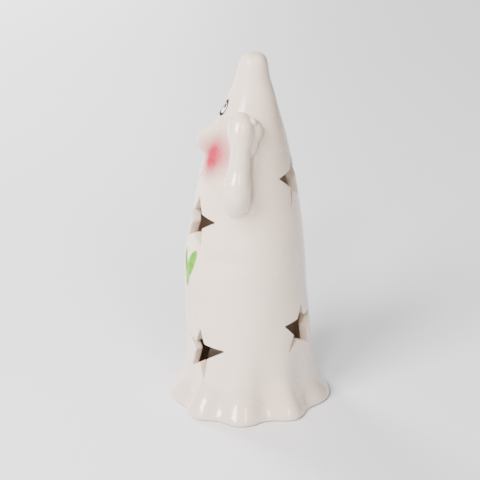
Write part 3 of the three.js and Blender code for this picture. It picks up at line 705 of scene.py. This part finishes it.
def raw_material():
    m, nt, bs, co = new_material("raw_inside")
    X, Y, Z = mm_axes(nt, co)
    n1 = noise(nt, co, 60, 4, .6); n2 = noise(nt, co, 700, 3, .6)
    base = mix(nt, n1.step(.35, .7), (.64, .52, .42), (.57, .46, .36))
    base = mix(nt, Z.step(6.9, 9.5), base, lin(214, 202, 190))
    base = mix(nt, n2.step(.3, .6) * .3, base, (.42, .34, .27))
    nt.links.new(base, bs.inputs["Base Color"])
    nt.links.new(((n2 * .15) + .72).s, bs.inputs["Roughness"])
    bump(nt, bs, n2 + n1 * 2, .35, .0004)
    return m


def plastic(name, colour, rough, grain=900, transmission=0.0, ior=1.46, mottled=.06):
    m, nt, bs, co = new_material(name)
    n1 = noise(nt, co, grain, 3, .6); n2 = noise(nt, co, 50, 3)
    c0 = colour; c1 = tuple(max(c * (1 - mottled * 2.5), 0) for c in colour)
    base = mix(nt, n2.step(.35, .7), c0, c1)
    base = mix(nt, n1.step(.32, .5) * .25, base, tuple(c * .8 for c in colour))
    nt.links.new(base, bs.inputs["Base Color"])
    nt.links.new(((n1 * .16) + (rough - .08)).s, bs.inputs["Roughness"])
    bs.inputs["IOR"].default_value = ior
    bs.inputs["Transmission Weight"].default_value = transmission
    bump(nt, bs, n1, .22, .0002)
    return m


def metal(name, colour, rough, brushed=(1, 1, 14)):
    m, nt, bs, co = new_material(name)
    n1 = noise(nt, co, 500, 3, .6, brushed); n2 = noise(nt, co, 80, 3)
    base = mix(nt, n2.step(.4, .7), colour, tuple(c * .82 for c in colour))
    nt.links.new(base, bs.inputs["Base Color"])
    bs.inputs["Metallic"].default_value = 1.0
    nt.links.new(((n1 * .2) + (rough - .06)).s, bs.inputs["Roughness"])
    bump(nt, bs, n1, .15, .0001)
    return m


def felt_material():
    m, nt, bs, co = new_material("felt_grey")
    n1 = noise(nt, co, 2600, 4, .7); n2 = noise(nt, co, 500, 2)
    base = mix(nt, n1.step(.35, .65), lin(146, 140, 134), lin(104, 99, 94))
    nt.links.new(base, bs.inputs["Base Color"])
    nt.links.new(((n2 * .1) + .88).s, bs.inputs["Roughness"])
    bs.inputs["Sheen Weight"].default_value = .5
    bump(nt, bs, n1, .8, .0005)
    return m


GLAZE = glaze_material(); RAW = raw_material()

V, F, M = build_shell([GLAZE, RAW])
shell = make_object("glazed_body", V, F, [GLAZE, RAW], M)
bm = bmesh.new(); bm.from_mesh(shell.data)
open_edges = sum(1 for e in bm.edges if len(e.link_faces) != 2)
bm.free()
print("shell", len(V), "verts", len(F), "faces, edges not shared by two faces:", open_edges)
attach(shell, "figure"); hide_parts("ghost_shell")

P, Fq, G = surface_nets(arm_solid, (12.5, -18, 110), (42, 12, 178), .55)
print("arm", len(P), "verts", len(Fq), "faces")
for side, name, node in ((1, "arm_left_glazed", "left_arm"), (-1, "arm_right_glazed", "right_arm")):
    Q = P * [side, 1, 1]; FF = Fq if side > 0 else Fq[:, ::-1]
    ob = make_object(name, Q, FF, [GLAZE], None, G * [side, 1, 1])
    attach(ob, "figure"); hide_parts(node)


# ------------------------------------------------------------------ pads: soft felt discs with a frayed edge
FELT = felt_material()
def felt_pad(i, x, y):
    n, rings = 40, []
    B = Build()
    edge = 1 + .018 * rng.standard_normal(n)
    prev = None
    c0 = B.add([[x, y, 0.0]])[0]
    prof = [(1.2, 0.0), (2.0, 0.0), (2.22, .1), (2.3, .3), (2.3, .7), (2.2, .92), (2.0, 1.0), (1.2, 1.0)]
    first = None
    for r, z in prof:
        a = 2 * math.pi * np.arange(n) / n
        rr = np.minimum(r * np.where(r > 1.9, edge, 1), 2.3)
        cur = B.add(np.stack([x + rr * np.cos(a), y + rr * np.sin(a), np.full(n, z)], -1))
        if prev is None:
            first = cur
            for k in range(n): B.face(cur[(k + 1) % n], cur[k], c0)
        else: B.ring(prev, cur)
        prev = cur
    c1 = B.add([[x, y, 1.0]])[0]
    for k in range(n): B.face(prev[k], prev[(k + 1) % n], c1)
    ob = make_object("felt_disc_%d" % i, np.concatenate(B.v), B.f, [FELT])
    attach(ob, "figure"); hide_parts("felt_pad_%d" % i)
for i in range(1, 5):
    lo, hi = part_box("felt_pad_%d" % i)
    felt_pad(i, (lo[0] + hi[0]) * 500, (lo[1] + hi[1]) * 500)

# ------------------------------------------------------------------ CAD nodes that stay: better materials
LOOK = {
    "base_plate": plastic("housing_white", lin(206, 203, 196), .42), "battery_door": None,
    "light_housing": plastic("housing_dark", (.22, .175, .14), .5),
    "gasket_ring": plastic("silicone_ring", lin(96, 86, 76), .55, 500),
    "flame_diffuser": plastic("diffuser_frosted", lin(182, 142, 88), .35, 600, .3),
    "led": plastic("led_lens", lin(240, 226, 180), .12, 300, .8),
    "circuit_board": plastic("board_green", lin(34, 92, 52), .4, 1500),
    "cell_holder": plastic("tray_black", lin(34, 34, 36), .5), "switch_body": plastic("switch_black", lin(30, 30, 32), .45),
    "switch_knob": plastic("knob_black", lin(26, 26, 28), .4), "contact_strip": metal("contact_brass", lin(205, 170, 98), .32),
    "door_contact": None, "door_hinge_pin": metal("steel_pin", lin(190, 192, 194), .25),
}
LOOK["battery_door"] = LOOK["base_plate"]; LOOK["door_contact"] = LOOK["contact_strip"]
STEEL = metal("steel_zinc", lin(188, 190, 192), .3)
CELL = metal("cell_steel", lin(206, 207, 208), .22, (1, 1, 1))
for nm in ("door_screw", "housing_screw_1", "housing_screw_2"): LOOK[nm] = STEEL
for k in (1, 2, 3): LOOK["button_cell_%d" % k] = CELL
for nm, mat in LOOK.items():
    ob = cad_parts[nm]
    ob.data.materials.clear(); ob.data.materials.append(mat)

# ------------------------------------------------------------------ studio
def plain_floor():
    me = bpy.data.meshes.new("studio_floor"); s = 9.0
    me.from_pydata([(-s, -s, 0), (s, -s, 0), (s, s, 0), (-s, s, 0)], [], [(0, 1, 2, 3)]); me.update()
    ob = bpy.data.objects.new("studio_floor", me); bpy.context.scene.collection.objects.link(ob)
    m, nt, bs, co = new_material("paper_sweep")
    n = noise(nt, co, 3, 2)
    X, Y, Z = mm_axes(nt, co)
    # painted shade: the floor is darker towards the camera and under the figure
    near = (X * -1).step(60, 620)
    paper = mix(nt, n, (.93, .92, .945), (.91, .90, .925))
    paper = mix(nt, near, paper, (.77, .76, .775))
    # painted shadow: the floor is darker towards +Y, where the figure's shadow falls
    nt.links.new(mix(nt, (1.0 - Y.step(-190, 130)) * .8, paper, (.62, .61, .62)), bs.inputs["Base Color"])
    bs.inputs["Roughness"].default_value = .75
    bs.inputs["Specular IOR Level"].default_value = .25
    me.materials.append(m)
plain_floor()


def area(name, loc, target, sx, sy, watts, colour=(1, 1, 1), glossy=True):
    L = bpy.data.lights.new(name, "AREA"); L.shape = "RECTANGLE"; L.size = sx; L.size_y = sy; L.energy = watts; L.color = colour
    ob = bpy.data.objects.new(name, L); bpy.context.scene.collection.objects.link(ob)
    ob.location = loc; ob.visible_glossy = glossy
    d = (Vector(target) - Vector(loc)).normalized()
    ob.rotation_euler = d.to_track_quat("-Z", "Y").to_euler()
    return ob


def polar(az, el, dist):
    a, e = math.radians(az), math.radians(el)
    return (dist * math.cos(e) * math.cos(a), dist * math.cos(e) * math.sin(a), dist * math.sin(e) + .1)


area("key_left", polar(-43, 41, 1.7), (0, 0, .1), .66, 1.08, 82, (1, .985, .965))
area("strip_right", polar(21, 42, 1.7), (0, 0, .1), .24, 1.04, 15, (1, .985, .965))
area("front_fill", polar(-14, 34, 2.3), (0, 0, .1), .3, .3, 38, (1, .98, .955), glossy=False)
area("back_wash", (-1.9, -1.5, 1.0), (-1.5, -.95, 0), .9, .6, 170, glossy=False)
w = bpy.data.worlds.new("studio_world"); bpy.context.scene.world = w; w.use_nodes = True
w.node_tree.nodes["Background"].inputs[0].default_value = (.93, .94, 1, 1)
w.node_tree.nodes["Background"].inputs[1].default_value = .10

# ------------------------------------------------------------------ camera
cam = bpy.data.cameras.new("photo_view"); cam.sensor_width = 36; cam.lens = 36 * 1452.3 / 480
co_ = bpy.data.objects.new("photo_view", cam); bpy.context.scene.collection.objects.link(co_)
co_.location = (.750, -.0056, .3912)
co_.rotation_euler = (Vector((0, -.0056, .0931)) - Vector(co_.location)).to_track_quat("-Z", "Y").to_euler()
bpy.context.scene.camera = co_
